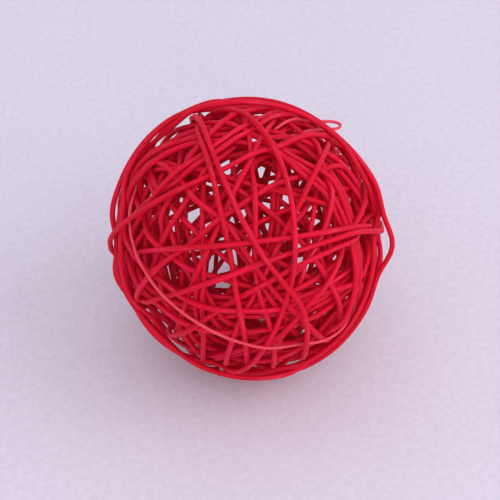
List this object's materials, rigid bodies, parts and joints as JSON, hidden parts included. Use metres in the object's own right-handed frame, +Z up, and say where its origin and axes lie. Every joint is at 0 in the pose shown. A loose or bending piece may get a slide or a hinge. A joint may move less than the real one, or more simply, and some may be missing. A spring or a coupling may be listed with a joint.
{
  "type": "decorative sphere",
  "caption": "Openwork decorative ball wound at random from long thin canes, hollow inside, with a small flat spot underneath so that it stands still.",
  "frame": {"origin": "the middle of the ball's outline box, at the flat spot that it stands on", "axes": "+Z up; the side shown in the picture faces -Y and up"},
  "size_m": [0.1014, 0.0976, 0.0991],
  "materials": {
    "dyed_cane": "round rattan core dyed deep red right through, dull satin, fine lengthwise grain",
    "dyed_fine_cane": "thin split cane dyed red, a little lighter and shinier than the thick canes"
  },
  "bodies": {
    "root": {"cane_01": "dyed_cane", "cane_02": "dyed_cane", "cane_03": "dyed_cane", "cane_04": "dyed_cane", "cane_05": "dyed_cane", "cane_06": "dyed_cane", "cane_07": "dyed_cane", "cane_08": "dyed_cane", "cane_09": "dyed_cane", "cane_10": "dyed_cane", "cane_11": "dyed_cane", "fine_cane": "dyed_fine_cane", "hairpin": "dyed_fine_cane"}
  },
  "joints": []
}
